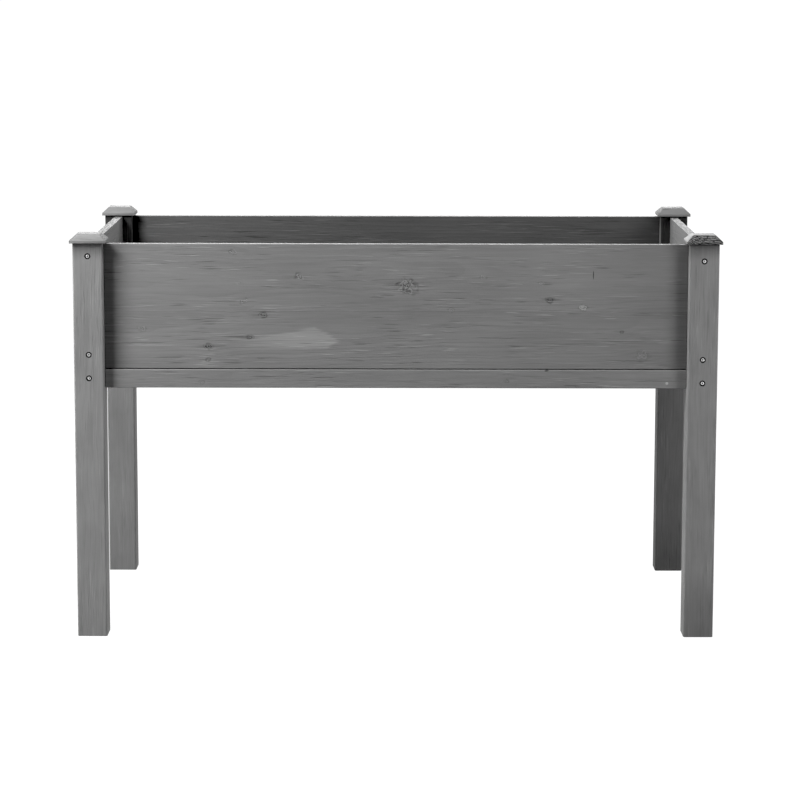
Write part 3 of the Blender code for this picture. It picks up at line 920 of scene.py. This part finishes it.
def make_caps():
    turns = {"front_left": "x", "front_right": "y", "back_right": "x", "back_left": "x"}
    tones = {"front_left": 0.245, "front_right": 0.25, "back_right": 0.216, "back_left": 0.245}
    for corner in CORNERS:
        node = "cap_" + corner
        place, size = local_place(node, turns[corner])
        mesh = cap_mesh(node, size, CAP_BAND, CAP_CHAMFER)
        rough_end = corner == "front_right"
        pith = (rng.uniform(0, 9), rng.uniform(-0.01, 0.01), -0.060 if rough_end else -0.035)
        ends = {"end_tone": 1.25, "end_rings": 0.80, "end_rough": 2.6}
        if rough_end:
            ends = {"end_tone": 0.86, "end_rings": 0.95, "end_rough": 2.4, "end_cracks": 0.75}
        material = stained_wood("stain_" + node, tones[corner], pith, (0, 0, 0), 0.0034, **ends)
        place_piece("wood_" + node, mesh, place, material, node)


def screw_head_mesh(name, size, length):
    """A pan-head screw with its head's top at the origin, its point at -Z, and a cross recess."""
    radius, height, shank = size
    angles = np.linspace(0.25, math.pi / 2, 7)
    dome = [(radius * math.sin(angle), -height * 0.42 * (1 - math.cos(angle))) for angle in angles]
    profile = [(0.0, 0.0), *dome, (radius, -height), (shank, -height)]
    profile += [(shank, -length + 0.008), (0.0004, -length), (0.0, -length)]
    mesh = turned_mesh(name, profile, 32)
    slots = []
    narrow, long, deep = RECESS
    for across, along in ((narrow, long), (long, narrow)):
        slot = bmesh.new()
        bmesh.ops.create_cube(slot, size=1.0, matrix=Matrix.Diagonal((across, along, deep, 1)))
        cutter = bpy.data.meshes.new("slot")
        slot.to_mesh(cutter)
        slot.free()
        slots.append(cutter)
    return cut_mesh(mesh, slots)


def make_screws():
    metal = zinc("zinc_screws")
    for prefix, size in (("screw_", POST_SCREW), ("ledger_", LEDGER_SCREW)):
        nodes = sorted(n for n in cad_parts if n.startswith(prefix) and "screw" in n)
        _, _, length = screw_axis(nodes[0])
        pattern = screw_head_mesh("metal_" + prefix + "pattern", size, length)
        for node in nodes:
            top, facing, _ = screw_axis(node)
            spin = Matrix.Rotation(rng.uniform(0, math.pi / 2), 4, "Z")
            place = Matrix.Translation(top) @ turn_to(facing) @ spin
            place_piece("metal_" + node, pattern.copy(), place, metal, node)


def dress_dowels():
    wood = bare_hardwood("dowel_timber")
    for corner in CORNERS:
        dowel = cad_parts["cap_dowel_" + corner]
        dowel.data.materials.clear()
        dowel.data.materials.append(wood)


# ---------------------------------------------------------------- stage


def make_floor():
    bm = bmesh.new()
    bmesh.ops.create_grid(bm, x_segments=1, y_segments=1, size=150.0)
    mesh = bpy.data.meshes.new("studio_floor")
    bm.to_mesh(mesh)
    bm.free()
    floor = bpy.data.objects.new("studio_floor", mesh)
    bpy.context.scene.collection.objects.link(floor)
    pale = bpy.data.materials.new("pale_floor")
    pale.use_nodes = True
    shader = pale.node_tree.nodes["Principled BSDF"]
    shader.inputs["Base Color"].default_value = (FLOOR_GREY, FLOOR_GREY, FLOOR_GREY, 1)
    shader.inputs["Roughness"].default_value = 0.9
    shader.inputs["Specular IOR Level"].default_value = 0.0
    shader.inputs["Emission Color"].default_value = (1, 1, 1, 1)
    shader.inputs["Emission Strength"].default_value = FLOOR_GLOW
    mesh.materials.append(pale)
    floor.visible_diffuse = False
    floor.visible_glossy = False


def make_room():
    """A dim room with pale walls to the left and right."""
    world = bpy.data.worlds.new("studio")
    bpy.context.scene.world = world
    world.use_nodes = True
    graph = Graph(world.node_tree)
    background = world.node_tree.nodes["Background"]
    x, _, z = graph.split(graph.node("ShaderNodeTexCoord").outputs["Generated"])
    walls = graph.add(graph.ramp(x, -0.45, -0.9, 0.0, LEFT_WALL), graph.ramp(x, 0.45, 0.9, 0.0, RIGHT_WALL))
    grey = graph.times(walls, graph.ramp(z, 0.45, 0.2))
    rays = graph.node("ShaderNodeLightPath").outputs
    grey = graph.mix(rays["Is Glossy Ray"], grey, GLOSSY_GREY)
    grey = graph.mix(rays["Is Camera Ray"], grey, 1.0)
    colour = graph.node("ShaderNodeCombineColor", {0: grey, 1: grey, 2: grey}).outputs[0]
    graph.feed(background.inputs["Color"], colour)


def make_lights():
    add_sun("overhead", (0.0, 0.0, 1.0), 1.4, 75)
    add_softbox("key_left", (-1.95, -1.30, 2.30), (-0.45, -0.3, 0.6), (0.9, 0.9), 56.0)
    add_softbox("key_near", (-1.27, -0.80, 1.55), (-0.55, -0.3, 0.7), (0.45, 0.6), 6.2)
    add_softbox("low_left", (-1.25, -0.85, 0.10), (-0.50, -0.33, 0.35), (0.30, 0.30), 2.6)
    add_softbox("low_right", (1.15, -0.95, 0.30), (0.58, -0.33, 0.40), (0.30, 0.30), 1.0)
    add_softbox("fill_right", (1.95, -1.30, 1.30), (0.45, -0.3, 0.6), (0.6, 0.6), 14.0)
    add_softbox("side_left", (-2.3, -0.3, 1.5), (-0.3, -0.1, 0.6), (0.8, 0.8), 6.3)
    add_softbox("behind", (0.0, 2.4, 1.7), (0.0, 0.0, 0.6), (2.0, 0.8), 44.0)


def add_lamp(name, kind, place, target):
    lamp = bpy.data.lights.new(name, kind)
    made = bpy.data.objects.new(name, lamp)
    bpy.context.scene.collection.objects.link(made)
    aim = Vector(place) - Vector(target)
    made.matrix_world = Matrix.Translation(place) @ turn_to(aim)
    made.visible_camera = False
    return lamp


def add_sun(name, direction, strength, spread):
    lamp = add_lamp(name, "SUN", Vector(direction) * 5, (0, 0, 0))
    lamp.energy = strength
    lamp.angle = math.radians(spread)


def add_softbox(name, place, target, size, power):
    lamp = add_lamp(name, "AREA", place, target)
    lamp.shape = "RECTANGLE"
    lamp.size, lamp.size_y = size
    lamp.energy = power


def make_camera():
    data = bpy.data.cameras.new("camera")
    data.lens = CAMERA_LENS
    data.sensor_width = 36.0
    camera = bpy.data.objects.new("camera", data)
    bpy.context.scene.collection.objects.link(camera)
    heading = Matrix.Rotation(math.radians(-CAMERA_YAW), 4, "Z")
    tilt = Matrix.Rotation(math.radians(90 - CAMERA_PITCH), 4, "X")
    roll = Matrix.Rotation(math.radians(CAMERA_ROLL), 4, "Z")
    camera.matrix_world = Matrix.Translation(CAMERA_PLACE) @ heading @ tilt @ roll
    bpy.context.scene.camera = camera
    view = bpy.context.scene.view_settings
    view.view_transform = "Standard"
    view.use_curve_mapping = True
    view.curve_mapping.black_level = (BLACK_LEVEL, BLACK_LEVEL, BLACK_LEVEL)


make_camera()
make_posts()
make_boards()
make_rails()
make_floor_pieces()
make_caps()
make_screws()
dress_dowels()
make_floor()
make_room()
make_lights()
